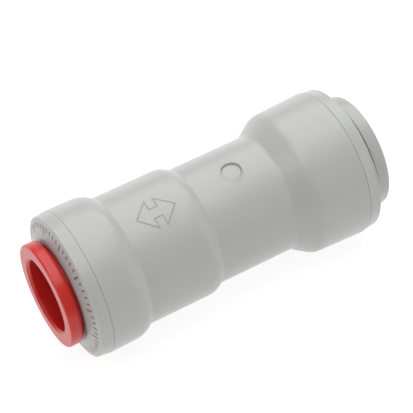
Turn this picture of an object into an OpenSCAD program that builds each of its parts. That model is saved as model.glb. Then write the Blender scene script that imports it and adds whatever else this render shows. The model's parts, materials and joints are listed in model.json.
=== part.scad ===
// Push fit coupling for two plastic pipes, 15 mm at the left end and 16 mm at the right end.
// The pipe axis is X. The origin is on that axis, halfway between the two collet faces.
// Each end is drawn once, along Z from its collet face inwards, and then turned into place.

/* [Pipes] */
// Outside diameter of the pipe for the left socket
left_pipe_d = 15; // [12.5:0.5:18]
// Outside diameter of the pipe for the right socket
right_pipe_d = 16; // [13:0.5:19.5]
// Room all round a pipe in the bores that guide it
pipe_clearance = 0.1; // [0.06:0.01:0.2]
// Bore between the two pipe stops
waterway_d = 12; // [8:0.5:12.5]

/* [Body outside] */
// Wall of the left bell at its seam, outside the cap spigot
left_bell_wall = 2.6; // [1.6:0.05:4]
// Wall of the right bell at its seam, outside the cap spigot
right_bell_wall = 2.45; // [1.6:0.05:4]
// Wall of the barrel, outside the O-ring gland
barrel_wall = 3.55; // [2:0.05:5]
// Wall of the waist, outside the wider pipe
waist_wall = 4.3; // [2.5:0.1:6]
// Length of the left bell, from the cap seam to its shoulder
left_bell_len = 7.5; // [5.5:0.05:12]
// Length of the shoulder between the left bell and the barrel
left_shoulder_len = 1.9; // [1.5:0.05:5]
// Length of the barrel
barrel_len = 15; // [10:0.05:24]
// Length of the shoulder between the barrel and the waist
barrel_shoulder_len = 1.7; // [1.5:0.05:5]
// Length of the waist
waist_len = 17.2; // [13:0.05:30]
// Length of the shoulder between the waist and the right bell
right_shoulder_len = 4.2; // [2.5:0.05:7]
// Length of the right bell, from its shoulder to the cap seam
right_bell_len = 11; // [8:0.05:18]
// How much wider the left bell is at its seam than at its shoulder, on the radius
left_bell_draft = 0.16; // [0:0.02:0.5]
// How much wider the right bell is at its seam than at its shoulder, on the radius
right_bell_draft = 0.4; // [0:0.02:0.5]
// Rounding of the outer edge of each left shoulder
shoulder_round = 5.5; // [0.5:0.1:8]
// Rounding of the outer edge of the right shoulder
right_shoulder_round = 3.4; // [0.5:0.1:8]
// Rounding of the inner corner of each left shoulder
shoulder_fillet = 0.5; // [0.2:0.1:2]
// Rounding of the inner corner of the right shoulder
waist_fillet = 1.8; // [0.5:0.1:4]
// Diameter of the ejector pin's witness mark on the waist
witness_d = 4; // [2:0.1:5]
// Depth of the witness mark
witness_depth = 0.35; // [0.1:0.05:0.6]
// Distance of the witness mark from the start of the waist
witness_at = 8.9; // [4:0.1:9]
// Turn of the witness mark about the pipe axis, from the top towards the front
witness_turn = 0; // [-60:1:60]

/* [Body inside] */
// Length of the bore that holds the end of the left pipe
left_seat_len = 8.6; // [4:0.1:10]
// Length of the bore that holds the end of the right pipe
right_seat_len = 9.8; // [6:0.1:12]
// Chamfer at the mouth of each pipe seat
seat_chamfer = 0.5; // [0.2:0.1:0.8]

/* [End caps] */
// Rise of the cap face from the collet hole to its crease
face_rise = 1.05; // [0.4:0.1:2]
// Length of the cap's outer band, from the crease to the seam
band_len = 2.5; // [1.5:0.05:5]
// How much smaller the crease is than the seam, on the radius
crease_inset = 0.3; // [0.1:0.05:1]
// Rounding of the crease
crease_round = 0.8; // [0.3:0.1:1.5]
// Wall of the spigot that is welded into the body
spigot_wall = 1.6; // [1.1:0.1:2.5]
// Gap between the spigot and the body
weld_gap = 0.05; // [0.02:0.01:0.1]
// Length of the straight bore that guides the collet
guide_len = 3.2; // [2.2:0.1:5]
// Length of the cone that squeezes the collet's legs
cam_len = 2.6; // [2:0.1:4]
// Length of the room for the legs' heads, behind the cone
head_room_len = 3.6; // [3:0.1:6]
// Room outside the legs' heads
head_room = 0.4; // [0.2:0.05:0.8]

/* [Collets] */
// Length of the collet's flange
flange_len = 2.75; // [1.8:0.05:4.5]
// Depth of the left flange, from the bore to its rim
left_flange_depth = 3.3; // [2.8:0.1:4.5]
// Depth of the right flange, from the bore to its rim
right_flange_depth = 3.9; // [2.8:0.1:4.5]
// Rounding of the flange's front rim
flange_round = 0.4; // [0.1:0.05:0.8]
// Rounding of the left flange's back rim, next to the cap
left_back_round = 0.9; // [0.1:0.05:1]
// Rounding of the right flange's back rim, next to the cap
right_back_round = 0.2; // [0.1:0.05:1]
// How far the collet can be pushed in before its flange meets the cap
press_travel = 0.6; // [0.3:0.05:1.2]
// How far the collet can be pulled out before its legs meet the cone
pull_travel = 0.8; // [0.4:0.05:1.4]
// Wall of the collet's neck and legs
collet_wall = 1.7; // [1.2:0.1:2.5]
// Height of the heads on the legs
head_height = 1.3; // [0.9:0.05:1.8]
// Length of a head's cylindrical land
head_land = 1.9; // [1.4:0.1:3]
// Gap between the collet's neck and the cap
neck_gap = 0.1; // [0.05:0.01:0.2]
// Number of legs on each collet
legs = 8; // [6:1:10]
// Width of the slots between the legs
slot_w = 1.6; // [0.8:0.1:2]
// Length of the slots
slot_len = 6.2; // [4:0.1:8]
// Chamfer at the collet's mouth
mouth_chamfer = 0.5; // [0.2:0.1:0.8]
// How much wider the bore is inside the legs than in the neck, on the radius
leg_relief = 0.2; // [0.16:0.01:0.4]

/* [Teeth] */
// How far a tooth's edge stands into the bore
tooth_bite = 0.2; // [0.05:0.01:0.25]
// Thickness of a tooth at its root
tooth_t = 0.4; // [0.25:0.05:0.6]
// Thickness of a tooth at its edge
tooth_edge = 0.12; // [0.05:0.01:0.2]
// Depth of a tooth's root in its leg
tooth_root = 1.9; // [1:0.1:2.2]
// How far a tooth leans inwards, from root to edge
tooth_lean = 0.9; // [0.3:0.1:1.2]
// Distance of a tooth's edge from the tip of its leg
tooth_from_tip = 0.5; // [0.3:0.05:1]
// Arc of a tooth, in degrees
tooth_arc = 24; // [14:1:26]

/* [Seals] */
// Thickness of an O-ring's section
o_ring_d = 2.65; // [2:0.05:3.5]
// How far an O-ring stands into the pipe's space
o_ring_squeeze = 0.15; // [0.05:0.01:0.17]
// Gap between an O-ring and the gland's wall
gland_gap = 0.05; // [0.02:0.01:0.1]
// Room for an O-ring along the axis
o_ring_room = 0.45; // [0.2:0.05:0.9]
// Thickness of the backup rings between collet and O-ring
backup_t = 1.4; // [1:0.1:2.4]
// Thickness of the ring between the left socket's two O-rings
divider_t = 1.6; // [1:0.1:2.6]
// Gap at each face of a loose ring, and round its rim
ring_gap = 0.05; // [0.02:0.01:0.1]
// Room between a ring's bore and the pipe
ring_bore_gap = 0.25; // [0.15:0.05:0.5]

/* [Hidden] */
SIDES = ["left", "right"];
fine = 96;
corner_steps = 6;
even_share = 0.48;
overcut = 1;

// Radii, from the pipe outwards. Each takes the side that it is for.
function pipe_r(side) = (side == "left" ? left_pipe_d : right_pipe_d) / 2;
function bore_r(side) = pipe_r(side) + pipe_clearance;
function neck_r(side) = bore_r(side) + collet_wall;
function head_r(side) = neck_r(side) + head_height;
function flange_r(side) = bore_r(side) + (side == "left" ? left_flange_depth : right_flange_depth);
function back_round(side) = side == "left" ? left_back_round : right_back_round;
function guide_r(side) = neck_r(side) + neck_gap;
function cavity_r(side) = head_r(side) + head_room;
function spigot_r(side) = cavity_r(side) + spigot_wall;
function counterbore_r(side) = spigot_r(side) + weld_gap;
function bell_r(side) = counterbore_r(side) + (side == "left" ? left_bell_wall : right_bell_wall);
function gland_r(side) = pipe_r(side) - o_ring_squeeze + o_ring_d + gland_gap;
barrel_r = gland_r("left") + barrel_wall;
waist_r = max(bore_r("left"), bore_r("right")) + waist_wall;

// Stations inwards from a collet's face. They are the same at both ends.
cap_face_z = flange_len + press_travel;
crease_z = cap_face_z + face_rise;
seam_z = crease_z + band_len;
cam_z = cap_face_z + guide_len;
cavity_z = cam_z + cam_len;
spigot_z = cavity_z + head_room_len;
gland_z = spigot_z + backup_t + 2 * ring_gap;
o_ring_len = o_ring_d + o_ring_room;
function seals(side) = side == "left" ? 2 : 1;
function seat_z(side) = gland_z + seals(side) * o_ring_len + (seals(side) - 1) * divider_t;
function seat_len(side) = side == "left" ? left_seat_len : right_seat_len;

// The legs' heads stand back from the cone by the collet's outward travel.
function cam_slope(side) = (cavity_r(side) - guide_r(side)) / cam_len;
function head_z(side) = cam_z - neck_gap / cam_slope(side) + pull_travel;
function land_z(side) = head_z(side) + head_height / cam_slope(side);
function tip_z(side) = land_z(side) + head_land;

body_len = left_bell_len + left_shoulder_len + barrel_len + barrel_shoulder_len
    + waist_len + right_shoulder_len + right_bell_len;
overall_len = body_len + 2 * seam_z;

body_grey = [0.79, 0.79, 0.77];
cap_grey = [0.77, 0.78, 0.75];
collet_red = [0.82, 0.13, 0.12];
collet_grey = [0.74, 0.75, 0.71];
ring_white = [0.9, 0.89, 0.84];
seal_black = [0.07, 0.07, 0.07];
tooth_steel = [0.72, 0.73, 0.74];

// Points of the fillet that replaces corner b of the path a, b, c. It takes up no more than a share of either edge.
function corner(a, b, c, radius, share) =
    let (
        to_a = (a - b) / norm(a - b),
        to_c = (c - b) / norm(c - b),
        half = acos(max(-1, min(1, to_a * to_c))) / 2,
        cut = min(radius / tan(half), share * norm(a - b), share * norm(c - b)),
        centre = b + (to_a + to_c) / norm(to_a + to_c) * cut / cos(half),
        from = b + to_a * cut - centre,
        to = b + to_c * cut - centre,
        start = atan2(from[1], from[0]),
        turn = (atan2(to[1], to[0]) - start + 540) % 360 - 180
    )
    [for (i = [0:corner_steps])
        centre + norm(from) * [cos(start + turn * i / corner_steps), sin(start + turn * i / corner_steps)]];

// Outline with its corners rounded. Each entry is [radius from the axis, station, corner radius], and a
// fourth number may set the share of its edges that the corner can take up.
function rounded(path) = [
    for (i = [0:len(path) - 1])
        let (
            before = path[(i + len(path) - 1) % len(path)],
            here = path[i],
            after = path[(i + 1) % len(path)],
            share = is_undef(here[3]) ? even_share : here[3]
        )
        each here[2] == 0
            ? [[here[0], here[1]]]
            : corner([before[0], before[1]], [here[0], here[1]], [after[0], after[1]], here[2], share)
];

// Solid of revolution about Z.
module turned(path) {
    rotate_extrude($fn = fine) polygon(rounded(path));
}

// Puts an end's part, drawn along Z from its collet face, at its own end of the X axis.
module at_end(side) {
    mirror([side == "left" ? 0 : 1, 0, 0])
        translate([-overall_len / 2, 0, 0])
            rotate([0, 90, 0])
                children();
}

// Everything that is bored out of one end of the body.
module socket(side) {
    stop_z = seat_z(side) + seat_len(side);
    translate([0, 0, seam_z - overcut])
        cylinder(r = counterbore_r(side), h = gland_z - seam_z + overcut, $fn = fine);
    translate([0, 0, gland_z - overcut])
        cylinder(r = gland_r(side), h = seat_z(side) - gland_z + overcut, $fn = fine);
    translate([0, 0, seat_z(side)])
        cylinder(r1 = bore_r(side) + seat_chamfer, r2 = bore_r(side), h = seat_chamfer, $fn = fine);
    translate([0, 0, seat_z(side) - overcut])
        cylinder(r = bore_r(side), h = seat_len(side) + overcut, $fn = fine);
    translate([0, 0, stop_z - overcut])
        cylinder(d = waterway_d, h = overall_len / 2 - stop_z + 2 * overcut, $fn = fine);
}

// Outside of the body: left bell, barrel, waist and right bell, with soft shoulders between them.
module body_blank() {
    x1 = seam_z;
    x2 = x1 + left_bell_len;
    x3 = x2 + left_shoulder_len;
    x4 = x3 + barrel_len;
    x5 = x4 + barrel_shoulder_len;
    x6 = x5 + waist_len;
    x7 = x6 + right_shoulder_len;
    x8 = x7 + right_bell_len;
    seam_round = 0.15;
    outer_share = 0.7;
    inner_share = 0.28;
    turned([
        [0, x1, 0],
        [bell_r("left"), x1, seam_round],
        [bell_r("left") - left_bell_draft, x2, shoulder_round, outer_share],
        [barrel_r, x3, shoulder_fillet, inner_share],
        [barrel_r, x4, shoulder_round, outer_share],
        [waist_r, x5, shoulder_fillet, inner_share],
        [waist_r, x6, waist_fillet, inner_share],
        [bell_r("right") - right_bell_draft, x7, right_shoulder_round, outer_share],
        [bell_r("right"), x8, seam_round],
        [0, x8, 0]
    ]);
}

module body() {
    witness_x = -overall_len / 2 + seam_z + left_bell_len + left_shoulder_len + barrel_len
        + barrel_shoulder_len + witness_at;
    color(body_grey)
        difference() {
            translate([-overall_len / 2, 0, 0]) rotate([0, 90, 0]) body_blank();
            for (side = SIDES) at_end(side) socket(side);
            translate([witness_x, 0, 0])
                rotate([witness_turn, 0, 0])
                    translate([0, 0, waist_r - witness_depth])
                        cylinder(d = witness_d, h = overcut, $fn = fine);
        }
}

// Cap welded into a bell. Its cone squeezes the collet's legs when the pipe pulls.
module cap(side) {
    guide = guide_r(side);
    cavity = cavity_r(side);
    color(cap_grey)
        at_end(side)
            turned([
                [guide, cap_face_z, 0.3],
                [flange_r(side), cap_face_z, 0.2],
                [bell_r(side) - crease_inset, crease_z, crease_round],
                [bell_r(side), seam_z, 0],
                [spigot_r(side), seam_z, 0],
                [spigot_r(side), spigot_z, 0.3],
                [cavity, spigot_z, 0],
                [cavity, cavity_z, 0],
                [guide, cam_z, 0]
            ]);
}

// Section of a tooth as [radius, station]: a thin wedge from its root in the leg to its edge in the bore.
function tooth_section(side) =
    let (
        edge_r = bore_r(side) - tooth_bite,
        root_r = bore_r(side) + tooth_root,
        edge_z = tip_z(side) - tooth_from_tip
    )
    [
        [edge_r, edge_z],
        [root_r, edge_z - tooth_lean],
        [root_r, edge_z - tooth_lean - tooth_t],
        [edge_r, edge_z - tooth_edge]
    ];

// Tooth number i, in the middle of its leg.
module tooth_solid(side, i) {
    rotate([0, 0, (i - 0.5) * 360 / legs - tooth_arc / 2])
        rotate_extrude(angle = tooth_arc, $fn = fine) polygon(tooth_section(side));
}

module tooth(side, i) {
    color(tooth_steel) at_end(side) tooth_solid(side, i);
}

// Release collet: a flange to press, a neck, and slotted legs whose heads hold the teeth.
module collet(side) {
    bore = bore_r(side);
    neck = neck_r(side);
    head = head_r(side);
    tip = tip_z(side);
    slot_z = tip - slot_len;
    tip_round = 0.6;
    color(side == "left" ? collet_red : collet_grey)
        at_end(side)
            difference() {
                turned([
                    [bore + mouth_chamfer, 0, 0],
                    [flange_r(side), 0, flange_round],
                    [flange_r(side), flange_len, back_round(side)],
                    [neck, flange_len, 0],
                    [neck, head_z(side), 0],
                    [head, land_z(side), 0],
                    [head, tip, tip_round],
                    [bore + leg_relief, tip, 0],
                    [bore + leg_relief, slot_z, 0],
                    [bore, slot_z - leg_relief, 0],
                    [bore, mouth_chamfer, 0]
                ]);
                for (i = [0:legs - 1])
                    rotate([0, 0, i * 360 / legs])
                        translate([0, -slot_w / 2, slot_z])
                            cube([head + overcut, slot_w, slot_len + overcut]);
                for (i = [1:legs]) tooth_solid(side, i);
            }
}

// Flat loose ring between two stations.
module loose_ring(side, rim_r, from_z, thickness) {
    color(ring_white)
        at_end(side)
            translate([0, 0, from_z])
                difference() {
                    cylinder(r = rim_r, h = thickness, $fn = fine);
                    translate([0, 0, -overcut])
                        cylinder(r = bore_r(side) + ring_bore_gap, h = thickness + 2 * overcut, $fn = fine);
                }
}

module backup_ring(side) {
    loose_ring(side, counterbore_r(side) - ring_gap, spigot_z + ring_gap, backup_t);
}

module seal_divider() {
    loose_ring("left", gland_r("left") - ring_gap, gland_z + o_ring_len, divider_t);
}

// O-ring number i in its socket, counted from the collet inwards.
module o_ring(side, i) {
    section_r = o_ring_d / 2;
    color(seal_black)
        at_end(side)
            translate([0, 0, gland_z + o_ring_len / 2 + i * (o_ring_len + divider_t)])
                rotate_extrude($fn = fine)
                    translate([gland_r(side) - gland_gap - section_r, 0])
                        circle(r = section_r, $fn = fine);
}

body();
for (side = SIDES) {
    cap(side);
    collet(side);
    backup_ring(side);
    for (i = [1:legs])
        tooth(side, i);
}
o_ring("left", 0);  // left_outer_o_ring
seal_divider();  // left_seal_divider
o_ring("left", 1);  // left_inner_o_ring
o_ring("right", 0);  // right_o_ring
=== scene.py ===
import json
import math

import bmesh
import bpy
import numpy as np
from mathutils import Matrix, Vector

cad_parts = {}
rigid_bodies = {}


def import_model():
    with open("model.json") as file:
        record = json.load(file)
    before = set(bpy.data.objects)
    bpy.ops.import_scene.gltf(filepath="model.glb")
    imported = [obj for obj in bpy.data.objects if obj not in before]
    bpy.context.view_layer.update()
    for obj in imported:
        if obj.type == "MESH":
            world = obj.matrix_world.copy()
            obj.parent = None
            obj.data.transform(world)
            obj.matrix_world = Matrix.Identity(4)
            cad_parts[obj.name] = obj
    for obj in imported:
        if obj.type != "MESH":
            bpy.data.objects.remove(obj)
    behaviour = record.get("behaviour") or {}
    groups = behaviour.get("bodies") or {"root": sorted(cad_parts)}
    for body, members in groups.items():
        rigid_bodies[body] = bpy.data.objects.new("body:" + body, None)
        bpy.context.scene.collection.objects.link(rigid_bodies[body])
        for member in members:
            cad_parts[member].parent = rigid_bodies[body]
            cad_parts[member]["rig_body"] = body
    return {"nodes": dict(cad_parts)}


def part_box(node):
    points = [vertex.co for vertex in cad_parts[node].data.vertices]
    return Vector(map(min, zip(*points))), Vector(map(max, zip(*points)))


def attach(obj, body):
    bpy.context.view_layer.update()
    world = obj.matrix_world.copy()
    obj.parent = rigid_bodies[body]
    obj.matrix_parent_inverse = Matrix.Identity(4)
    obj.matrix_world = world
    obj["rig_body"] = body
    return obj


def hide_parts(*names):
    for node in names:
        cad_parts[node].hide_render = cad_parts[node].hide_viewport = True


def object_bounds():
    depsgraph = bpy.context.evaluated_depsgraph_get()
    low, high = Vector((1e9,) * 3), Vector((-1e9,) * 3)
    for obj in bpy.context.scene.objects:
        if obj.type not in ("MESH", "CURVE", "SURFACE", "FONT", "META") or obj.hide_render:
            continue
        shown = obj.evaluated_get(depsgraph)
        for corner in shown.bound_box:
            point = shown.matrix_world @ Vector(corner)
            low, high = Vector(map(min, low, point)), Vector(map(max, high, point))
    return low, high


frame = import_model()
cadBox = [list(corner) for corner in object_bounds()]
mm = 0.001  # the dictionaries below hold millimetres and degrees, unless a note says otherwise
sharpEdge = 32  # an edge that turns by more than this is shaded sharp
print("frame loaded:", len(frame["nodes"]), "nodes")


def corner(before, here, after, radius, share=0.48, steps=9):
    # the circle that touches both edges of the corner: its centre lies on the corner's bisector,
    # and its points are that centre plus the radius turned evenly from one edge to the other;
    # it takes up no more than the given share of either edge
    lengthBefore = np.linalg.norm(before - here)
    lengthAfter = np.linalg.norm(after - here)
    toBefore = (before - here) / lengthBefore
    toAfter = (after - here) / lengthAfter
    half = math.acos(float(np.clip(toBefore @ toAfter, -1, 1))) / 2
    cut = min(radius / math.tan(half), share * lengthBefore, share * lengthAfter)
    bisector = (toBefore + toAfter) / np.linalg.norm(toBefore + toAfter)
    centre = here + bisector * cut / math.cos(half)
    start = here + toBefore * cut - centre
    end = here + toAfter * cut - centre
    first = math.atan2(start[1], start[0])
    turn = (math.atan2(end[1], end[0]) - first + math.pi) % (2 * math.pi) - math.pi
    angles = first + turn * np.linspace(0, 1, steps)
    return centre + np.linalg.norm(start) * np.column_stack([np.cos(angles), np.sin(angles)])


def roundedLoop(points):
    # closed outline of (station, radius, corner radius) entries, with each corner rounded; a fourth
    # number may set the share of its edges that the corner can take up
    xy = np.array([p[:2] for p in points], float)
    out = []
    for i, (_, _, *rounding) in enumerate(points):
        if rounding[0]:
            out.append(corner(xy[i - 1], xy[i], xy[(i + 1) % len(xy)], *rounding))
        else:
            out.append(xy[i][None, :])
    return np.vstack(out)


def evenSteps(a, b, longest):
    # points from a up to, but not including, b, at even steps that are no longer than the longest
    count = max(1, int(math.ceil(np.linalg.norm(b - a) / longest)))
    return a + (b - a) * np.arange(count)[:, None] / count


def fillLoop(loop, stepAt):
    # closed outline with points added along each edge, at steps no longer than stepAt(station, radius)
    parts = []
    for a, b in zip(loop, np.roll(loop, -1, axis=0)):
        middle = (a + b) / 2
        parts.append(evenSteps(a, b, stepAt(*middle)))
    return np.vstack(parts)


def openPath(points, longest):
    # open outline of (station, radius, corner radius) entries, rounded and filled with even steps
    xy = np.array([p[:2] for p in points], float)
    out = [xy[0][None, :]]
    for i in range(1, len(points) - 1):
        rounding = points[i][2]
        out.append(corner(xy[i - 1], xy[i], xy[i + 1], rounding) if rounding else xy[i][None, :])
    out.append(xy[-1][None, :])
    path = np.vstack(out)
    filled = [evenSteps(a, b, longest) for a, b in zip(path, path[1:])]
    return np.vstack(filled + [path[-1:]])


def spreadPath(path, count):
    # the path as count points, spread evenly along its length
    along = np.concatenate([[0], np.cumsum(np.linalg.norm(np.diff(path, axis=0), axis=1))])
    at = np.linspace(0, along[-1], count)
    return np.column_stack([np.interp(at, along, path[:, 0]), np.interp(at, along, path[:, 1])])


def columnAngles(fineZones, fineStep, coarseStep):
    # angles round the axis from 0 to a full turn, fine inside the zones and coarse between them
    edges = sorted({0.0, 360.0} | {e % 360 for zone in fineZones for e in zone})
    out = []
    for low, high in zip(edges, edges[1:]):
        middle = (low + high) / 2
        fine = any((middle - a) % 360 < (b - a) for a, b in fineZones)
        count = max(1, int(math.ceil((high - low) / (fineStep if fine else coarseStep))))
        out.append(low + (high - low) * np.arange(count) / count)
    return np.radians(np.concatenate(out))


def turnedGrid(loop, angles):
    # stations, radii and angles of a turned surface: a row for each outline point, a column for each angle
    stations, turn = np.meshgrid(loop[:, 0], angles, indexing="ij")
    radii = np.repeat(loop[:, 1:2], len(angles), axis=1)
    return stations, radii, turn


def turnedPoints(stations, radii, angles):
    # x = station, y = -radius * sin(angle), z = radius * cos(angle): the angle is zero at the top
    # and grows towards the front
    return np.stack([stations, -radii * np.sin(angles), radii * np.cos(angles)], axis=-1)


def gridFaces(rows, columns):
    # quads between neighbouring rows and columns, closed both ways
    i, j = np.meshgrid(np.arange(rows), np.arange(columns), indexing="ij")
    ahead, beside = (i + 1) % rows, (j + 1) % columns
    corners = [i * columns + j, i * columns + beside, ahead * columns + beside, ahead * columns + j]
    return np.stack([c.ravel() for c in corners], axis=1)


def meshObject(name, points, faces, sharpAngle=sharpEdge, fields=None):
    # puts whole arrays of points, in millimetres, and faces into one smooth-shaded mesh with outward normals
    mesh = bpy.data.meshes.new(name)
    mesh.from_pydata((np.asarray(points).reshape(-1, 3) * mm).tolist(), [], [list(f) for f in faces])
    for field, values in (fields or {}).items():
        layer = mesh.attributes.new(field, "FLOAT", "POINT")
        layer.data.foreach_set("value", np.asarray(values, np.float32).ravel())
    shaped = bmesh.new()
    shaped.from_mesh(mesh)
    bmesh.ops.recalc_face_normals(shaped, faces=shaped.faces)
    shaped.to_mesh(mesh)
    shaped.free()
    mesh.polygons.foreach_set("use_smooth", np.ones(len(mesh.polygons), bool))
    mesh.set_sharp_from_angle(angle=math.radians(sharpAngle))
    piece = bpy.data.objects.new(name, mesh)
    bpy.context.scene.collection.objects.link(piece)
    return piece


def weld(piece):
    # merges points that coincide, drops points without a face and turns all normals outwards
    together = 0.0001 * mm
    shaped = bmesh.new()
    shaped.from_mesh(piece.data)
    bmesh.ops.remove_doubles(shaped, verts=shaped.verts, dist=together)
    loose = [v for v in shaped.verts if not v.link_faces]
    bmesh.ops.delete(shaped, geom=loose, context="VERTS")
    bmesh.ops.recalc_face_normals(shaped, faces=shaped.faces)
    shaped.to_mesh(piece.data)
    shaped.free()
    piece.data.set_sharp_from_angle(angle=math.radians(sharpEdge))


def addPiece(piece, node, material):
    # the piece stands for one CAD node, rides on that node's body and takes the given material
    piece.data.materials.append(material)
    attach(piece, frame["nodes"][node]["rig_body"])
    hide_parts(node)


def softStep(distance, edge):
    # 1 where the distance is well below zero, 0 well above it, with a smooth cubic over the edge's width
    t = np.clip(0.5 - distance / edge, 0, 1)
    return t * t * (3 - 2 * t)


def ridge(distance, width):
    # 1 where the distance is zero, falling off to both sides as exp(-(distance / width)^2)
    return np.exp(-(distance / width) ** 2)


def boxDistance(u, v, halfU, halfV):
    # signed distance from a rectangle's outline: negative inside it
    du, dv = np.abs(u) - halfU, np.abs(v) - halfV
    return np.hypot(np.maximum(du, 0), np.maximum(dv, 0)) + np.minimum(np.maximum(du, dv), 0)


noiseSpan = (0.1, 0.9)  # the values that a noise really reaches


def newMaterial(name):
    material = bpy.data.materials.new(name)
    material.use_nodes = True
    tree = material.node_tree
    coords = tree.nodes.new("ShaderNodeTexCoord").outputs["Object"]
    return material, tree, tree.nodes["Principled BSDF"], coords


def noiseValue(tree, coords, scale, detail, roughness=0.5):
    made = tree.nodes.new("ShaderNodeTexNoise")
    for key, value in {"Scale": scale, "Detail": detail, "Roughness": roughness}.items():
        made.inputs[key].default_value = value
    tree.links.new(coords, made.inputs["Vector"])
    return made.outputs["Fac"]


def mappedValue(tree, source, fromSpan, toSpan):
    made = tree.nodes.new("ShaderNodeMapRange")
    for key, value in zip(("From Min", "From Max", "To Min", "To Max"), (*fromSpan, *toSpan)):
        made.inputs[key].default_value = value
    tree.links.new(source, made.inputs["Value"])
    return made.outputs["Result"]


def blendedColour(tree, factor, first, second):
    # the second colour laid over the first by the factor; either may be a socket or a plain colour
    made = tree.nodes.new("ShaderNodeMix")
    made.data_type = "RGBA"
    tree.links.new(factor, made.inputs[0])
    for socket, colour in ((made.inputs[6], first), (made.inputs[7], second)):
        if isinstance(colour, bpy.types.NodeSocket):
            tree.links.new(colour, socket)
        else:
            socket.default_value = (*colour, 1)
    return made.outputs[2]


def fineRelief(tree, shader, height, strength, depth):
    made = tree.nodes.new("ShaderNodeBump")
    made.inputs["Strength"].default_value = strength
    made.inputs["Distance"].default_value = depth
    tree.links.new(height, made.inputs["Height"])
    tree.links.new(made.outputs["Normal"], shader.inputs["Normal"])


def mouldedMaterial(name, look):
    # moulded plastic or rubber: a slight mottle and fine specks in the colour, handling marks in the gloss,
    # tool grain in the surface, and painted shade: a darker tone laid into the colour where a mark is cut in
    material, tree, shader, coords = newMaterial(name)
    mottle = noiseValue(tree, coords, *look["mottleNoise"])
    speck = noiseValue(tree, coords, *look["speckNoise"])
    rub = noiseValue(tree, coords, *look["rubNoise"])
    grain = noiseValue(tree, coords, *look["grainNoise"])
    # the cut-in attribute tells where shade is painted into the recesses of the marks
    cut = tree.nodes.new("ShaderNodeAttribute")
    cut.attribute_name = "paintedCutShade"
    mottleShare = mappedValue(tree, mottle, noiseSpan, (0, 1))
    speckShare = mappedValue(tree, speck, look["speckSpan"], (0, look["speck"]))
    cutShadeShare = mappedValue(tree, cut.outputs["Fac"], (0, 1), (0, look["cutShadeStrength"]))
    base = blendedColour(tree, mottleShare, look["colour"], look["mottleColour"])
    base = blendedColour(tree, speckShare, base, look["speckColour"])
    base = blendedColour(tree, cutShadeShare, base, look["cutShadeColour"])
    tree.links.new(base, shader.inputs["Base Color"])
    tree.links.new(mappedValue(tree, rub, noiseSpan, look["roughness"]), shader.inputs["Roughness"])
    fineRelief(tree, shader, grain, look["grain"], look["grainDepth"])
    shader.inputs["IOR"].default_value = look["ior"]
    shader.inputs["Specular IOR Level"].default_value = look["specular"]
    shader.inputs["Subsurface Weight"].default_value = look["subsurface"]
    shader.inputs["Subsurface Radius"].default_value = look["subsurfaceRadius"]
    shader.inputs["Subsurface Scale"].default_value = look["subsurfaceScale"]
    return material


# what every moulded piece starts from; a noise has scale, detail and roughness, and the grain's depth and the
# subsurface scale are in metres
plasticLook = {
    "mottleNoise": (90, 4, 0.5), "speckNoise": (450, 2, 0.5), "rubNoise": (207, 5, 0.7),
    "grainNoise": (1500, 2, 0.6), "grain": 0.1, "grainDepth": 0.00002,
    "mottleColour": (0.405, 0.41, 0.398),
    "speck": 0.12, "speckSpan": (0.6, 0.9), "speckColour": (0.33, 0.33, 0.31),
    # painted shade for the cut-in marks: its strength and its colour
    "cutShadeStrength": 0.8, "cutShadeColour": (0.10, 0.095, 0.085),
    "roughness": (0.27, 0.36), "ior": 1.48, "specular": 0.5,
    "subsurface": 0.12, "subsurfaceRadius": (1, 0.95, 0.85), "subsurfaceScale": 0.0008,
}
steelLook = {  # the stretch draws the streaks out along the pipe axis; the depth is in metres
    "dark": (0.50, 0.50, 0.51), "bright": (0.68, 0.68, 0.69), "streakNoise": (9000, 2),
    "stretch": (0.08, 1, 1), "streakSpan": (0.3, 0.7), "roughness": (0.22, 0.42),
    "grain": 0.3, "grainDepth": 0.00001,
}


def brushedSteel(name, look):
    # steel strip: fine streaks along one direction in the colour, the roughness and the surface
    material, tree, shader, coords = newMaterial(name)
    stretched = tree.nodes.new("ShaderNodeMapping")
    stretched.inputs["Scale"].default_value = look["stretch"]
    tree.links.new(coords, stretched.inputs["Vector"])
    streak = noiseValue(tree, stretched.outputs["Vector"], *look["streakNoise"])
    base = blendedColour(tree, streak, look["dark"], look["bright"])
    tree.links.new(base, shader.inputs["Base Color"])
    gloss = mappedValue(tree, streak, look["streakSpan"], look["roughness"])
    tree.links.new(gloss, shader.inputs["Roughness"])
    fineRelief(tree, shader, streak, look["grain"], look["grainDepth"])
    shader.inputs["Metallic"].default_value = 1
    return material


bodyGrey = mouldedMaterial("bodyGrey", plasticLook | {"colour": (0.435, 0.439, 0.426)})
capGrey = mouldedMaterial("capGrey", plasticLook | {
    "colour": (0.435, 0.443, 0.428), "mottleColour": (0.41, 0.418, 0.404),
})
colletGrey = mouldedMaterial("colletGrey", plasticLook | {
    "colour": (0.43, 0.435, 0.415), "mottleColour": (0.40, 0.405, 0.385),
})
colletRed = mouldedMaterial("colletRed", plasticLook | {
    "colour": (0.58, 0.018, 0.014), "mottleColour": (0.52, 0.015, 0.012),
    "speck": 0.15, "speckColour": (0.45, 0.02, 0.02), "cutShadeColour": (0.2, 0.01, 0.01),
    "roughness": (0.25, 0.34), "subsurfaceRadius": (1, 0.2, 0.1),
})
ringWhite = mouldedMaterial("ringWhite", plasticLook | {
    "colour": (0.72, 0.70, 0.63), "mottleColour": (0.66, 0.64, 0.58), "speckColour": (0.5, 0.48, 0.42),
})
sealBlack = mouldedMaterial("sealBlack", plasticLook | {
    "colour": (0.016, 0.016, 0.016), "mottleColour": (0.024, 0.024, 0.023),
    "speckColour": (0.05, 0.05, 0.05), "cutShadeColour": (0.005, 0.005, 0.005),
    "roughness": (0.42, 0.6), "subsurface": 0.0,
})
toothSteel = brushedSteel("toothSteel", steelLook)
print("materials made")


def boxMm(nodeName):
    low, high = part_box(nodeName)
    return np.array(low) / mm, np.array(high) / mm


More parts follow.
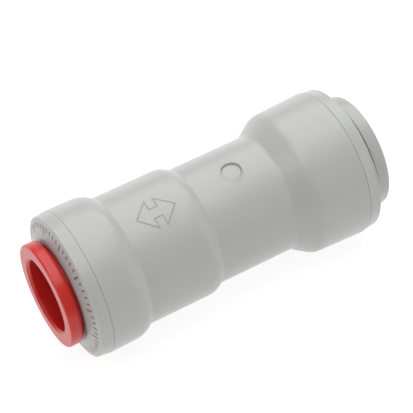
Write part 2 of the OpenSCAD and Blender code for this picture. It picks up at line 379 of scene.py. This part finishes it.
sides = ["left", "right"]
inward = {"left": 1, "right": -1}
faceX = {"left": boxMm("left_collet")[0][0], "right": boxMm("right_collet")[1][0]}
colletEndX = {"left": boxMm("left_collet")[1][0], "right": boxMm("right_collet")[0][0]}
capFaceX = {"left": boxMm("left_cap")[0][0], "right": boxMm("right_cap")[1][0]}
capEndX = {"left": boxMm("left_cap")[1][0], "right": boxMm("right_cap")[0][0]}
seamX = {"left": boxMm("body")[0][0], "right": boxMm("body")[1][0]}
flangeR = {side: boxMm(side + "_collet")[1][2] for side in sides}
bellR = {side: boxMm(side + "_cap")[1][2] for side in sides}


bodyShape = {  # lengths run from the left seam; inner stations run inwards from each seam
    "bell": 7.5, "leftShoulder": 1.9, "barrel": 15.0, "barrelShoulder": 1.7, "waist": 17.2,
    "rightShoulder": 4.2, "leftDraft": 0.16, "rightDraft": 0.4, "barrelR": 13.6, "waistR": 12.4,
    "round": 5.5, "rightRound": 3.4, "fillet": 0.5, "waistFillet": 1.8, "outerShare": 0.7, "innerShare": 0.28,
    "seamRound": {"left": 0.18, "right": 0.28}, "seamDrop": {"left": 0.03, "right": 0.0},
    "counterbore": {"left": 12.65, "right": 13.15}, "gland": {"left": 10.05, "right": 10.55},
    "glandX": 7.35, "seatX": {"left": 15.15, "right": 10.45}, "seatR": {"left": 7.6, "right": 8.1},
    "seatChamfer": 0.5, "stopX": {"left": 23.75, "right": 20.25}, "waterwayR": 6.0,
}
# the last three entries set a ring of painted shade along the recess wall
witnessMark = {"fromWaist": 8.9, "turn": 0, "radius": 2.0, "depth": 0.35, "wall": 0.14,
               "lip": 0.1, "lipAt": 0.22, "lipWidth": 0.25,
               "wallShade": 0.35, "shadeAt": -0.05, "shadeWidth": 0.12}
flowArrow = {"fromBarrel": 7.5, "turn": 9, "length": 8.4, "head": 3.3, "headWidth": 6.6, "shaftWidth": 2.3,
             # dark is the strength of painted shade laid into the groove
             "line": 0.2, "lineEdge": 0.14, "depth": 0.1, "dark": 0.3,
             "rim": 0.03, "rimAt": 0.3, "rimWidth": 0.12}
partingLine = {"turns": (90, -90), "width": 0.16, "height": 0.02}
bodyMesh = {"step": 0.6, "boreStep": 3.0, "arrowStep": 0.09, "markStep": 0.13, "fineTurn": 0.42,
            "coarseTurn": 3.2, "arrowEnds": 0.5, "arrowSides": 0.4, "markRoom": 0.7}


def bodyStations():
    # where the bells, the barrel, the waist and their shoulders begin and end, from left to right
    x1 = seamX["left"]
    x2 = x1 + bodyShape["bell"]
    x3 = x2 + bodyShape["leftShoulder"]
    x4 = x3 + bodyShape["barrel"]
    x5 = x4 + bodyShape["barrelShoulder"]
    x6 = x5 + bodyShape["waist"]
    return x1, x2, x3, x4, x5, x6, x6 + bodyShape["rightShoulder"], seamX["right"]


def bodyLoop():
    # outside from the left seam to the right one, then back through the bores
    s = bodyShape
    x1, x2, x3, x4, x5, x6, x7, x8 = bodyStations()
    outside = [
        (x1, bellR["left"] - s["seamDrop"]["left"], s["seamRound"]["left"]),
        (x2, bellR["left"] - s["leftDraft"], s["round"], s["outerShare"]),
        (x3, s["barrelR"], s["fillet"], s["innerShare"]),
        (x4, s["barrelR"], s["round"], s["outerShare"]),
        (x5, s["waistR"], s["fillet"], s["innerShare"]),
        (x6, s["waistR"], s["waistFillet"], s["innerShare"]),
        (x7, bellR["right"] - s["rightDraft"], s["rightRound"], s["outerShare"]),
        (x8, bellR["right"] - s["seamDrop"]["right"], s["seamRound"]["right"]),
    ]
    inside = {}
    for side in sides:
        end, way = seamX[side], inward[side]
        gland, seat = end + way * s["glandX"], end + way * s["seatX"][side]
        stop = end + way * s["stopX"][side]
        inside[side] = [
            (end, s["counterbore"][side], 0), (gland, s["counterbore"][side], 0),
            (gland, s["gland"][side], 0), (seat, s["gland"][side], 0),
            (seat, s["seatR"][side] + s["seatChamfer"], 0),
            (end + way * (s["seatX"][side] + s["seatChamfer"]), s["seatR"][side], 0),
            (stop, s["seatR"][side], 0), (stop, s["waterwayR"], 0),
        ]
    return roundedLoop(outside + inside["right"] + inside["left"][::-1])


def arrowDistance(u, v):
    # signed distance from a double-headed arrow's outline: the union of a shaft and two triangles
    a = flowArrow
    shaft = boxDistance(u, v, a["length"] / 2 - a["head"] * 0.9, a["shaftWidth"] / 2)
    slope = a["headWidth"] / 2 / a["head"]
    fromTip = a["length"] / 2 - np.abs(u)
    side = (np.abs(v) - slope * fromTip) / math.hypot(1, slope)
    head = np.maximum(side, a["length"] / 2 - a["head"] - np.abs(u))
    return np.minimum(shaft, head)


def makeBody():
    # radius = the outline's radius - the witness recess + its lip + the arrow's rim - its groove
    # + the parting lines, over a grid of stations and angles, and never past the wider bell
    mark, arrow = witnessMark, flowArrow
    barrelX, waistX = bodyStations()[2], bodyStations()[4]
    markX, arrowX = waistX + mark["fromWaist"], barrelX + arrow["fromBarrel"]

    def stepAt(x, r):
        if r < bodyShape["waistR"] - 0.1:  # in the bores
            return bodyMesh["boreStep"]
        if abs(x - arrowX) < arrow["length"] / 2 + bodyMesh["arrowEnds"]:
            return bodyMesh["arrowStep"]
        nearMark = abs(x - markX) < mark["radius"] + bodyMesh["markRoom"]
        return bodyMesh["markStep"] if nearMark else bodyMesh["step"]

    arrowArc = math.degrees((arrow["headWidth"] / 2 + bodyMesh["arrowSides"]) / bodyShape["barrelR"])
    markArc = math.degrees((mark["radius"] + bodyMesh["markRoom"]) / bodyShape["waistR"])
    fineZones = [(arrow["turn"] - arrowArc, arrow["turn"] + arrowArc),
                 (mark["turn"] - markArc, mark["turn"] + markArc)]
    angles = columnAngles(fineZones, bodyMesh["fineTurn"], bodyMesh["coarseTurn"])
    loop = fillLoop(bodyLoop(), stepAt)
    x, r, turn = turnedGrid(loop, angles)
    outside = np.zeros_like(r)
    outside[: np.argmax(loop[:, 0]) + 1] = 1

    def around(turnDeg):
        # angle from the given turn, between minus and plus half a turn
        return (turn - math.radians(turnDeg) + math.pi) % (2 * math.pi) - math.pi

    def facing(turnDeg):
        # the outside within one radian of the given turn, so that no mark shows again underneath
        return outside * (np.abs(around(turnDeg)) < 1)

    fromMark = np.hypot(x - markX, bodyShape["waistR"] * np.sin(around(mark["turn"]))) - mark["radius"]
    recess = facing(mark["turn"]) * softStep(fromMark, mark["wall"])
    lip = facing(mark["turn"]) * ridge(fromMark - mark["lipAt"], mark["lipWidth"])
    # painted shade: a dark ring laid along the witness recess's wall
    wallShade = facing(mark["turn"]) * ridge(fromMark - mark["shadeAt"], mark["shadeWidth"])
    fromLine = np.abs(arrowDistance(x - arrowX, bodyShape["barrelR"] * around(arrow["turn"])))
    groove = facing(arrow["turn"]) * softStep(fromLine - arrow["line"] / 2, arrow["lineEdge"])
    grooveRim = facing(arrow["turn"]) * ridge(fromLine - arrow["rimAt"], arrow["rimWidth"])
    fromSeams = [bodyShape["waistR"] * around(turnDeg) for turnDeg in partingLine["turns"]]
    parting = outside * sum(ridge(distance, partingLine["width"]) for distance in fromSeams)
    r = r - mark["depth"] * recess + mark["lip"] * lip * (1 - recess)
    r = r + arrow["rim"] * grooveRim - arrow["depth"] * groove + partingLine["height"] * parting
    r = np.minimum(r, np.where(outside > 0, bellR["right"], r))
    # painted shade for the arrow's groove and the witness recess's wall, handed to the material
    paintedCutShade = np.maximum(arrow["dark"] * groove, mark["wallShade"] * wallShade)
    piece = meshObject("mouldedBody", turnedPoints(x, r, turn), gridFaces(*x.shape), fields={"paintedCutShade": paintedCutShade})
    addPiece(piece, "body", bodyGrey)
    return piece


body = makeBody()
print("body made:", len(body.data.polygons), "faces")


capShape = {  # inwards from the cap's face
    "faceRise": 1.05, "faceRound": 0.2, "creaseInset": 0.3, "creaseRound": {"left": 0.6, "right": 0.35},
    "bead": {"left": 0.0, "right": 0.07}, "beadWidth": 0.45, "beadRound": 0.15,
    "seamRound": 0.08, "seamGap": 0.01, "seamDrop": {"left": 0.0, "right": 0.1},
    "guideLen": 3.2, "guideRound": 0.3, "camLen": 2.6, "spigotRound": 0.3,
    "guideR": {"left": 9.4, "right": 9.9}, "cavityR": {"left": 11.0, "right": 11.5},
    "spigotR": {"left": 12.6, "right": 13.1},
}
scaleRing = {"ticks": 60, "longEvery": 5, "long": 1.8, "short": 1.0, "width": 0.34, "depth": 0.16,
             "edge": 0.12, "outwards": 0.1}
capMesh = {"step": 0.8, "turnStep": 2.5, "markedStep": 0.11, "markedTurnStep": 0.6}


def capLoop(side):
    # outside from the collet's hole to the seam, along the spigot and back through the cavity and the cone
    c, way = capShape, inward[side]
    face, seam, end = capFaceX[side], seamX[side] - way * c["seamGap"], capEndX[side]
    crease = bellR[side] - c["creaseInset"]
    return roundedLoop([
        (face, c["guideR"][side], c["guideRound"]), (face, flangeR[side], c["faceRound"]),
        (face + way * c["faceRise"], crease, c["creaseRound"][side]),
        (face + way * (c["faceRise"] + c["beadWidth"]), crease - c["bead"][side], c["beadRound"]),
        (seam, bellR[side] - c["seamDrop"][side], c["seamRound"]), (seam, c["spigotR"][side], 0),
        (end, c["spigotR"][side], c["spigotRound"]), (end, c["cavityR"][side], 0),
        (face + way * (c["guideLen"] + c["camLen"]), c["cavityR"][side], 0),
        (face + way * c["guideLen"], c["guideR"][side], 0),
    ])


def tickField(radius, turn, middle):
    # how far each point of the sloping face lies inside a mark: radial ticks at an even pitch, with their
    # outer ends on one circle and every fifth one long
    t = scaleRing
    pitch = 2 * math.pi / t["ticks"]
    nearest = np.round(turn / pitch)
    length = np.where(nearest % t["longEvery"] == 0, t["long"], t["short"])
    centre = middle + t["long"] / 2 - length / 2
    distance = boxDistance(radius * (turn - nearest * pitch), radius - centre, t["width"] / 2, length / 2)
    return softStep(distance, t["edge"])


def makeCap(side, marked):
    # radius and station from the outline, with the marks sunk along the axis into the sloping face
    crease = bellR[side] - capShape["creaseInset"]
    middle = (flangeR[side] + crease) / 2 + scaleRing["outwards"]

    def stepAt(x, r):
        onFace = abs(x - capFaceX[side]) < capShape["faceRise"] + 0.1 and r > flangeR[side] - 0.2
        return capMesh["markedStep"] if marked and onFace else capMesh["step"]

    angles = np.radians(np.arange(0, 360, capMesh["markedTurnStep"] if marked else capMesh["turnStep"]))
    x, r, turn = turnedGrid(fillLoop(capLoop(side), stepAt), angles)
    onFace = (np.abs(x - capFaceX[side]) < capShape["faceRise"]) & (r > flangeR[side])
    # the tick field sinks the ticks and is also handed to the material as painted shade in them
    cut = np.where(onFace, tickField(r, turn, middle), 0) if marked else np.zeros_like(r)
    x = x + inward[side] * scaleRing["depth"] * cut
    piece = meshObject(side + "EndCap", turnedPoints(x, r, turn), gridFaces(*x.shape), fields={"paintedCutShade": cut})
    addPiece(piece, side + "_cap", capGrey)


for side in sides:
    makeCap(side, side == "left")
print("caps made")


colletShape = {  # inwards from the collet's face
    "flangeLen": 2.75, "flangeRound": 0.4, "backRound": {"left": 0.9, "right": 0.2},
    "mouthChamfer": 0.5, "mouthRound": 0.25, "legs": 8, "slotLen": 6.2, "slotW": 1.6, "relief": 0.2,
    "headZ": 7.1875, "landZ": 9.3, "headRound": 0.3, "tipRound": 0.6, "tipChamfer": 0.4, "tipChamferLen": 0.2,
    "boreR": {"left": 7.6, "right": 8.1}, "neckR": {"left": 9.3, "right": 9.8},
    "headR": {"left": 10.6, "right": 11.1},
}
colletMesh = {"frontStep": 0.5, "legStep": 0.45, "perLeg": 12, "perSlot": 4}


def colletOutlines(side):
    # four outlines of (distance from the collet's face, radius): flange and neck, legs outside, mouth and
    # bore, legs inside; all but the first leave out their first point, which another outline has
    c = colletShape
    bore, neck, head, rim = c["boreR"][side], c["neckR"][side], c["headR"][side], flangeR[side]
    tip = abs(colletEndX[side] - faceX[side])
    slotZ = tip - c["slotLen"]
    mouth, legBore = bore + c["mouthChamfer"], bore + c["relief"]
    tipBore = legBore + c["tipChamfer"]
    front = openPath([
        (0, mouth, 0), (0, rim, c["flangeRound"]), (c["flangeLen"], rim, c["backRound"][side]),
        (c["flangeLen"], neck, 0), (slotZ, neck, 0),
    ], colletMesh["frontStep"])
    legsOutside = openPath([
        (slotZ, neck, 0), (c["headZ"], neck, c["headRound"]), (c["landZ"], head, c["headRound"]),
        (tip, head, c["tipRound"]), (tip, tipBore, 0),
    ], colletMesh["legStep"])
    throat = openPath([
        (0, mouth, 0), (c["mouthChamfer"], bore, c["mouthRound"]), (slotZ - c["relief"], bore, 0),
        (slotZ, legBore, 0),
    ], colletMesh["frontStep"])
    straight = np.array([(slotZ, legBore), (tip - c["tipChamferLen"], legBore), (tip, tipBore)])
    legsInside = spreadPath(straight, len(legsOutside))
    return front, legsOutside[1:], throat[1:], legsInside[1:]


def makeCollet(side, material):
    # an outer and an inner turned surface, joined at the face, the slot floors, the slot walls and the tips;
    # inside the slots a column's angle is asin(half slot width / radius), so the slots have parallel walls
    legs, perLeg, perSlot = colletShape["legs"], colletMesh["perLeg"], colletMesh["perSlot"]
    block = perLeg + perSlot
    columns = legs * block
    pitch = 2 * math.pi / legs
    slotShare = np.linspace(-1, 1, perSlot + 1)[:-1]
    legShare = np.arange(perLeg) / perLeg

    def turnsAt(radii):
        # for every radius, the angles of all columns: even inside the slot's chord, then even across the leg
        half = np.arcsin(colletShape["slotW"] / 2 / radii)[:, None]
        one = np.hstack([half * slotShare, half + (pitch - 2 * half) * legShare])
        return np.hstack([one + k * pitch for k in range(legs)])

    rows = colletOutlines(side)
    starts = np.cumsum([0] + [len(row) for row in rows])
    path = np.vstack(rows)
    turn = turnsAt(path[:, 1])
    stations = np.repeat(faceX[side] + inward[side] * path[:, :1], columns, axis=1)
    radii = np.repeat(path[:, 1:2], columns, axis=1)
    at = np.arange(turn.size).reshape(turn.shape)
    beside = np.roll(at, -1, axis=1)

    def strip(rowA, rowB, keep):
        return np.stack([at[rowA][keep], beside[rowA][keep], beside[rowB][keep], at[rowB][keep]], axis=1)

    everywhere = np.ones(columns, bool)
    inSlot = np.tile(np.arange(block) < perSlot, legs)
    outerFirst, outerSlot, innerFirst, innerSlot = starts[0], starts[1] - 1, starts[2], starts[3] - 1
    outerRows = [outerSlot] + list(range(starts[1], starts[2]))
    innerRows = [innerSlot] + list(range(starts[3], starts[4]))
    faces = [strip(i, i + 1, everywhere) for i in range(outerFirst, outerSlot)]
    faces += [strip(outerFirst, innerFirst, everywhere)]
    faces += [strip(i, i + 1, everywhere) for i in range(innerFirst, innerSlot)]
    faces += [strip(a, b, ~inSlot) for a, b in zip(outerRows, outerRows[1:])]
    faces += [strip(a, b, ~inSlot) for a, b in zip(innerRows, innerRows[1:])]
    faces += [strip(outerSlot, innerSlot, inSlot)]
    firstOfLeg = np.arange(legs) * block + perSlot
    lastOfLeg = (np.arange(1, legs + 1) * block) % columns
    for edge in (firstOfLeg, lastOfLeg):
        outer, inner = at[outerRows][:, edge], at[innerRows][:, edge]
        faces.append(np.stack([outer[:-1], outer[1:], inner[1:], inner[:-1]], axis=-1).reshape(-1, 4))
    piece = meshObject(side + "Collet", turnedPoints(stations, radii, turn), np.vstack(faces))
    weld(piece)
    addPiece(piece, side + "_collet", material)


gateMark = {"turn": -24, "fromFace": 1.25, "radius": 0.55, "height": 0.1, "dimple": 0.09, "dimpleWidth": 0.4,
            "sunk": 0.03, "rootDepth": 0.4, "rings": 8, "turnStep": 15}


def makeGateMark(side, material):
    # a low dome on the flange's rim: its height falls as 1 - (distance / radius)^4, with a dimple in the
    # middle, its edge runs just under the rim's surface, and one point below its centre closes it
    g = gateMark
    rings, columns = g["rings"], 360 // g["turnStep"]
    shares = np.linspace(0, 1, rings + 1)[1:]
    out, turn = np.meshgrid(shares, np.radians(np.arange(0, 360, g["turnStep"])), indexing="ij")
    share = np.concatenate([[0], out.ravel()])
    along = np.concatenate([[0], (g["radius"] * out * np.cos(turn)).ravel()])
    around = np.concatenate([[0], (g["radius"] * out * np.sin(turn)).ravel()])
    height = g["height"] * (1 - share ** 4) - g["dimple"] * ridge(share, g["dimpleWidth"]) - g["sunk"]
    rim = flangeR[side]
    stations = faceX[side] + inward[side] * (g["fromFace"] + along)
    top = turnedPoints(stations, rim + height, math.radians(g["turn"]) + around / rim)
    root = top[0] * [1, 1 - g["rootDepth"] / rim, 1 - g["rootDepth"] / rim]
    first = 1 + np.arange(columns)
    beside = np.roll(first, -1)
    faces = [np.stack([np.zeros(columns, int), first, beside], axis=1)]
    faces.append(np.stack([first + (rings - 1) * columns, np.full(columns, len(top)),
                           beside + (rings - 1) * columns], axis=1))
    for k in range(rings - 1):
        near, far = k * columns, (k + 1) * columns
        faces.append(np.stack([first + near, first + far, beside + far, beside + near], axis=1))
    corners = [tuple(face) for group in faces for face in group]
    piece = meshObject(side + "GateMark", np.vstack([top, root]), corners)
    piece.data.materials.append(material)
    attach(piece, frame["nodes"][side + "_collet"]["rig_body"])


makeCollet("left", colletRed)
makeGateMark("left", colletRed)
makeCollet("right", colletGrey)
print("collets made")


sealShape = {
    "names": {"left_outer_o_ring": "leftOuterSeal", "left_inner_o_ring": "leftInnerSeal",
              "right_o_ring": "rightSeal"},
    "lineHeight": 0.02, "lineWidth": 0.12, "points": 48, "turnStep": 3,  # the line's width is in radians
}
ringShape = {
    "names": {"left_backup_ring": "leftBackupRing", "right_backup_ring": "rightBackupRing",
              "left_seal_divider": "leftSealDivider"},
    "bore": {"left_backup_ring": 7.85, "right_backup_ring": 8.35, "left_seal_divider": 7.85},
    "edge": 0.15, "turnStep": 3,
}


def makeSeal(nodeName, name):
    # a torus: station = centre + section * cos(a), radius = middle + section * sin(a), with a fine mould
    # line on the side that faces the pipe
    s = sealShape
    low, high = boxMm(nodeName)
    section = (high[0] - low[0]) / 2
    a = np.linspace(0, 2 * math.pi, s["points"], endpoint=False)
    line = s["lineHeight"] * ridge(a - 1.5 * math.pi, s["lineWidth"])
    stations = (low[0] + high[0]) / 2 + section * np.cos(a)
    radii = high[2] - section + (section - s["lineHeight"] + line) * np.sin(a)
    angles = np.radians(np.arange(0, 360, s["turnStep"]))
    x, r, turn = turnedGrid(np.column_stack([stations, radii]), angles)
    piece = meshObject(name, turnedPoints(x, r, turn), gridFaces(*x.shape), sharpAngle=60)
    addPiece(piece, nodeName, sealBlack)


def makeRing(nodeName, name):
    # a flat ring: its outline is a rectangle with rounded corners, turned about the axis
    low, high = boxMm(nodeName)
    bore, edge = ringShape["bore"][nodeName], ringShape["edge"]
    loop = roundedLoop([(low[0], bore, edge), (low[0], high[2], edge),
                        (high[0], high[2], edge), (high[0], bore, edge)])
    x, r, turn = turnedGrid(loop, np.radians(np.arange(0, 360, ringShape["turnStep"])))
    piece = meshObject(name, turnedPoints(x, r, turn), gridFaces(*x.shape))
    addPiece(piece, nodeName, ringWhite)


for nodeName, name in sealShape["names"].items():
    makeSeal(nodeName, name)
for nodeName, name in ringShape["names"].items():
    makeRing(nodeName, name)
for nodeName, cadNode in frame["nodes"].items():
    if "_tooth_" in nodeName:
        cadNode.data.materials.clear()
        cadNode.data.materials.append(toothSteel)
print("rings, seals and teeth made")


studio = {  # sizes and distances in metres, power in watts; turn and height are as seen from the object
    "floorSize": 3.0, "floorColour": (0.35, 0.35, 0.35), "floorMottle": 0.985, "floorNoise": (3, 2),
    "floorGlow": 0.8, "floorRoughness": 0.9, "floorSpecular": 0.1, "world": 0.39,
    "lights": {
        "softbox": {"turn": 150, "height": 50, "size": 0.7, "away": 0.6, "power": 2.6},
        "overhead": {"turn": 0, "height": 85, "size": 0.4, "away": 0.6, "power": 0.95},
        "leftFill": {"turn": -90, "height": 52, "size": 0.4, "away": 0.6, "power": 0.65},
        "frontFill": {"turn": 45, "height": 15, "size": 0.4, "away": 0.6, "power": 0.4},
    },
}
viewpoint = {  # distances in metres
    "turn": -30.6, "height": 52.4, "lens": 157.3, "away": 0.3606, "right": 0.0001, "up": 0.0029,
    "clip": (0.01, 20),
}


def outwards(turnDeg, heightDeg):
    # direction away from the object: a turn about the vertical from the front, then a height above the floor
    turn, height = math.radians(turnDeg), math.radians(heightDeg)
    return np.array([math.sin(turn) * math.cos(height), -math.cos(turn) * math.cos(height), math.sin(height)])


def aimAlong(thing, direction):
    thing.rotation_euler = Vector(direction).to_track_quat("-Z", "Y").to_euler()


def makeFloor():
    # one square at the object's lowest point, in paper with a faint mottle
    half = studio["floorSize"] / 2
    square = np.array([[-half, -half, 0], [half, -half, 0], [half, half, 0], [-half, half, 0]])
    points = square + [0, 0, cadBox[0][2]]
    floor = meshObject("floor", points / mm, np.array([[0, 1, 2, 3]]))
    material, tree, shader, coords = newMaterial("floorPaper")
    pale = studio["floorColour"]
    darker = tuple(studio["floorMottle"] * c for c in pale)
    tone = noiseValue(tree, coords, *studio["floorNoise"])
    tree.links.new(blendedColour(tree, tone, pale, darker), shader.inputs["Base Color"])
    shader.inputs["Roughness"].default_value = studio["floorRoughness"]
    shader.inputs["Specular IOR Level"].default_value = studio["floorSpecular"]
    shader.inputs["Emission Color"].default_value = (1, 1, 1, 1)
    shader.inputs["Emission Strength"].default_value = studio["floorGlow"]
    floor.data.materials.append(material)


def makeLights():
    # a plain white surround and one round lamp for each entry, aimed at the object
    world = bpy.data.worlds.new("studio")
    bpy.context.scene.world = world
    world.use_nodes = True
    background = world.node_tree.nodes["Background"]
    background.inputs["Color"].default_value = (1, 1, 1, 1)
    background.inputs["Strength"].default_value = studio["world"]
    for name, lamp in studio["lights"].items():
        data = bpy.data.lights.new(name, "AREA")
        data.shape, data.size, data.energy = "DISK", lamp["size"], lamp["power"]
        made = bpy.data.objects.new(name, data)
        direction = outwards(lamp["turn"], lamp["height"])
        made.location = direction * lamp["away"]
        aimAlong(made, -direction)
        bpy.context.scene.collection.objects.link(made)


def makeCamera():
    # looks along the viewpoint's direction at the box's middle, moved a little right and up
    data = bpy.data.cameras.new("camera")
    data.lens = viewpoint["lens"]
    data.clip_start, data.clip_end = viewpoint["clip"]
    camera = bpy.data.objects.new("camera", data)
    back = outwards(viewpoint["turn"], viewpoint["height"])
    turn = math.radians(viewpoint["turn"])
    right = np.array([math.cos(turn), math.sin(turn), 0])
    aim = np.mean(cadBox, axis=0) + right * viewpoint["right"] + np.cross(back, right) * viewpoint["up"]
    camera.location = aim + back * viewpoint["away"]
    aimAlong(camera, -back)
    bpy.context.scene.collection.objects.link(camera)
    bpy.context.scene.camera = camera


makeFloor()
makeLights()
makeCamera()
bpy.context.scene.view_settings.view_transform = "Standard"
print("studio made")

bpy.context.view_layer.update()
